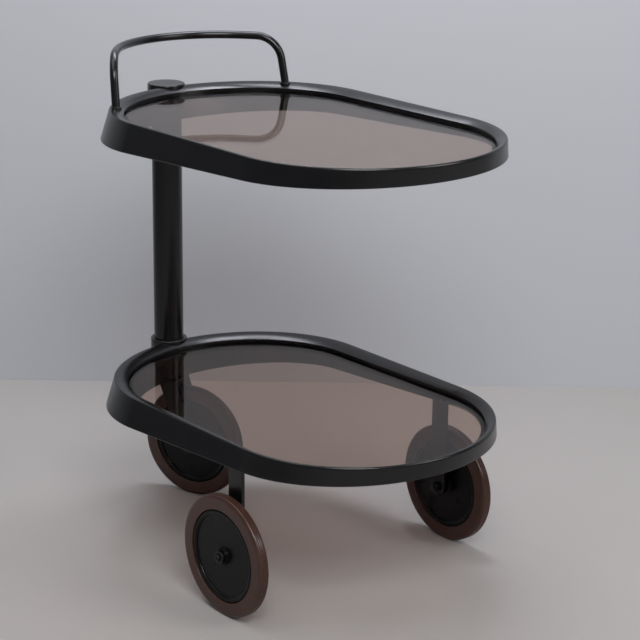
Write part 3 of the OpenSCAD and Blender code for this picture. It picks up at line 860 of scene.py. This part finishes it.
class BARCART_OT_nuts(bpy.types.Operator):
    """Models the washers, lock nuts and domed nuts on the axles"""
    bl_idname = "barcart.nuts"
    bl_label = "Axle nuts and washers"

    def execute(self, context):
        radius = context.scene.wheel_sizes.radius
        out = Vector((0, 1, 0))
        washer_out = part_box("axle_washers")[1][1]
        e = WASHER_EDGE
        ring = ([(WASHER_BORE, -WASHER_THICK), (WASHER_RADIUS, -WASHER_THICK)]
                + arc((WASHER_RADIUS - e, -e), e, e, 0, 90, 3) + [(WASHER_BORE, 0)])
        washer = turned("washer", ring, Vector((WHEEL_X, washer_out, radius)), out, 64)
        pair = joined("front_washers", [washer, copied(washer, "washer", across())])
        dress(pair, "dark_steel", "cart", "axle_washers")
        nut = domed_nut("cap_nut", Vector((WHEEL_X, washer_out, radius)), out)
        pair = joined("front_cap_nuts", [nut, copied(nut, "cap_nut", across())])
        dress(pair, "dark_steel", "cart", "axle_cap_nuts")
        leg_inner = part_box("leg_left")[0][1]
        nut = hexagon("lock_nut", LOCK_NUT_RADIUS, LOCK_NUT_HEIGHT,
                      Vector((WHEEL_X, leg_inner, radius)), -out)
        pair = joined("front_lock_nuts", [nut, copied(nut, "lock_nut", across())])
        dress(pair, "dark_steel", "cart", "axle_lock_nuts")
        way = (caster_space().to_3x3() @ out).normalized()
        legs = context.scene.leg_sizes
        face = context.scene.wheel_sizes.half_tyre + legs.fork_gap + legs.fork_thick
        nuts = [domed_nut("rear_nut", REAR_HUB + way * side * face, way * side) for side in (1, -1)]
        dress(joined("rear_cap_nuts", nuts), "dark_steel", "caster", "rear_nuts")
        return {"FINISHED"}


class BARCART_OT_kept_parts(bpy.types.Operator):
    """Gives the CAD parts that stay as they are their finishes"""
    bl_idname = "barcart.kept_parts"
    bl_label = "Inner parts"

    def execute(self, context):
        slots = {part["node"]: part["material_slot"] for part in frame["record"]["subparts"]}
        for name, node in frame["nodes"].items():
            for place in node.material_slots:
                place.material = FINISHES[slots[name]]()
        return {"FINISHED"}


# ---------------------------------------------------------------- stage

STAGE_SIZE = 12
FLOOR_SHIFT = 4.5
WALL_DISTANCE = 0.75
CAMERA_PLACE = (2.159, -1.777, 1.256)
CAMERA_AZIMUTH = math.radians(49.63)
CAMERA_ELEVATION = math.radians(17.65)
CAMERA_ROLL = math.radians(0.7555)
# The lens in pixels of a picture this wide, and the sensor's width in mm
FOCAL_PIXELS = 1975
PICTURE_WIDTH = 640
SENSOR_WIDTH = 36


def camera_axes():
    """Right, up and forward directions of the camera in the photograph's view."""
    right = Vector((math.cos(CAMERA_AZIMUTH), math.sin(CAMERA_AZIMUTH), 0))
    flat = math.cos(CAMERA_ELEVATION)
    ahead = Vector((-right.y * flat, right.x * flat, -math.sin(CAMERA_ELEVATION)))
    up = right.cross(ahead)
    sine, cosine = math.sin(CAMERA_ROLL), math.cos(CAMERA_ROLL)
    right, up = right * cosine + up * sine, up * cosine - right * sine
    return right, up, ahead


def area_lamp(name, place, target, size, watts, tint):
    """A soft rectangular lamp that faces a point."""
    clear_selection()
    turn = (Vector(target) - Vector(place)).to_track_quat("-Z", "Y").to_euler()
    bpy.ops.object.light_add(type="AREA", location=place, rotation=turn)
    lamp = bpy.context.object
    lamp.name = name
    lamp.data.shape = "RECTANGLE"
    lamp.data.size, lamp.data.size_y = size
    lamp.data.energy = watts
    lamp.data.color = linear(tint)[:3]


def stage_paint(name, tint, grain):
    # Matt wall and floor paint: flat, with barely visible unevenness
    # It is clear from its back, so that the cart can be looked at from all sides
    mat, tree = new_material(name)
    if tree:
        grained(tree, tint, grain, 0.985, (0.8, 0.9), 0.0, {"Specular IOR Level": 0.2})
        surface = next(n for n in tree.nodes if n.type == "OUTPUT_MATERIAL").inputs["Surface"]
        side = add_node(tree, "ShaderNodeNewGeometry")
        clear = add_node(tree, "ShaderNodeBsdfTransparent")
        paint = surface.links[0].from_socket
        both = add_node(tree, "ShaderNodeMixShader", {},
                        {0: side.outputs["Backfacing"], 1: paint, 2: clear.outputs[0]})
        tree.links.new(both.outputs[0], surface)
    return mat


class BARCART_OT_stage(bpy.types.Operator):
    """Sets up the floor, the wall, the lamps and the camera"""
    bl_idname = "barcart.stage"
    bl_label = "Stage"

    def execute(self, context):
        tints = context.scene.cart_colours
        right, up, ahead = camera_axes()
        level = Vector((ahead.x, ahead.y, 0)).normalized()
        turn = math.atan2(level.y, level.x) - math.pi / 2
        clear_selection()
        bpy.ops.mesh.primitive_plane_add(size=STAGE_SIZE, location=level * -FLOOR_SHIFT,
                                         rotation=(0, 0, turn))
        floor = context.object
        floor.name = "floor"
        floor.data.materials.append(stage_paint("matt_floor_paint", tints.floor, 0.02))
        clear_selection()
        bpy.ops.mesh.primitive_plane_add(size=STAGE_SIZE,
                                         location=level * WALL_DISTANCE + UP * STAGE_SIZE / 2,
                                         rotation=(math.pi / 2, 0, turn))
        wall = context.object
        wall.name = "wall"
        wall.data.materials.append(stage_paint("matt_wall_paint", tints.wall, 0.02))
        aside = Vector((right.x, right.y, 0))
        # Place ahead, to the right and up in metres, target, size, watts and colour
        rims = level * 0.25 + UP * 0.45
        for name, ahead_by, right_by, up_by, target, size, watts, tint in (
                ("right softbox", -0.9, 2.1, 1.7, (0, 0, 0.4), (1.0, 1.4), 21, "FFFFFF"),
                ("front softbox", -2.6, 0.4, 2.6, (0, 0, 0.2), (1.6, 1.2), 68, "FFFFFF"),
                ("top softbox", -0.2, -0.7, 2.6, (0, 0, 0), (2.0, 2.0), 24, "FFFFFF"),
                ("left rim lamp", 0.7, -0.25, 1.6, rims, (0.4, 0.6), 8, "F4F6FF"),
                ("right rim lamp", 0.54, 0.24, 1.9, rims, (0.4, 0.4), 8, "F4F6FF")):
            place = level * ahead_by + aside * right_by + UP * up_by
            area_lamp(name, place, target, size, watts, tint)
        world = context.scene.world or bpy.data.worlds.new("room")
        context.scene.world = world
        world.use_nodes = True
        world.node_tree.nodes.clear()
        air = add_node(world.node_tree, "ShaderNodeBackground",
                       {"Color": linear("C9CDD4"), "Strength": 0.25})
        add_node(world.node_tree, "ShaderNodeOutputWorld", {}, {"Surface": air.outputs[0]})
        clear_selection()
        bpy.ops.object.camera_add(location=CAMERA_PLACE)
        camera = context.object
        camera.rotation_euler = Matrix((right, up, -ahead)).transposed().to_euler()
        camera.data.sensor_width = SENSOR_WIDTH
        camera.data.lens = FOCAL_PIXELS * SENSOR_WIDTH / PICTURE_WIDTH
        camera.data.clip_end = 50
        context.scene.camera = camera
        context.scene.view_settings.view_transform = "Standard"
        return {"FINISHED"}


class BARCART_PT_panel(bpy.types.Panel):
    """Lists the cart's sizes, colours and pieces"""
    bl_idname = "BARCART_PT_panel"
    bl_label = "Bar cart"
    bl_space_type = "VIEW_3D"
    bl_region_type = "UI"
    bl_category = "Bar cart"

    def draw(self, context):
        for group in GROUPS:
            sizes = getattr(context.scene, group)
            for field in sizes.bl_rna.properties.keys():
                if field not in ("rna_type", "name"):
                    self.layout.prop(sizes, field)
        for operator in OPERATORS:
            self.layout.operator(operator.bl_idname)


GROUPS = {
    "tray_sizes": TraySizes,
    "post_sizes": PostSizes,
    "handle_sizes": HandleSizes,
    "wheel_sizes": WheelSizes,
    "leg_sizes": LegSizes,
    "cart_colours": CartColours,
}

OPERATORS = (
    BARCART_OT_kept_parts,
    BARCART_OT_trays,
    BARCART_OT_panes,
    BARCART_OT_post,
    BARCART_OT_handle,
    BARCART_OT_legs,
    BARCART_OT_fork,
    BARCART_OT_wheels,
    BARCART_OT_nuts,
    BARCART_OT_stage,
)


def register():
    """Registers the sizes, the operators and the panel."""
    for name, group in GROUPS.items():
        bpy.utils.register_class(group)
        setattr(bpy.types.Scene, name, bpy.props.PointerProperty(type=group))
    for operator in OPERATORS:
        bpy.utils.register_class(operator)
    bpy.utils.register_class(BARCART_PT_panel)


def unregister():
    """Removes what register added."""
    bpy.utils.unregister_class(BARCART_PT_panel)
    for operator in reversed(OPERATORS):
        bpy.utils.unregister_class(operator)
    for name, group in reversed(GROUPS.items()):
        delattr(bpy.types.Scene, name)
        bpy.utils.unregister_class(group)


def main():
    """Builds the cart and its stage."""
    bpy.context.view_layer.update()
    register()
    bpy.ops.barcart.kept_parts()
    bpy.ops.barcart.trays()
    bpy.ops.barcart.panes()
    bpy.ops.barcart.post()
    bpy.ops.barcart.handle()
    bpy.ops.barcart.legs()
    bpy.ops.barcart.fork()
    bpy.ops.barcart.wheels()
    bpy.ops.barcart.nuts()
    bpy.ops.barcart.stage()


if __name__ == "__main__":
    main()
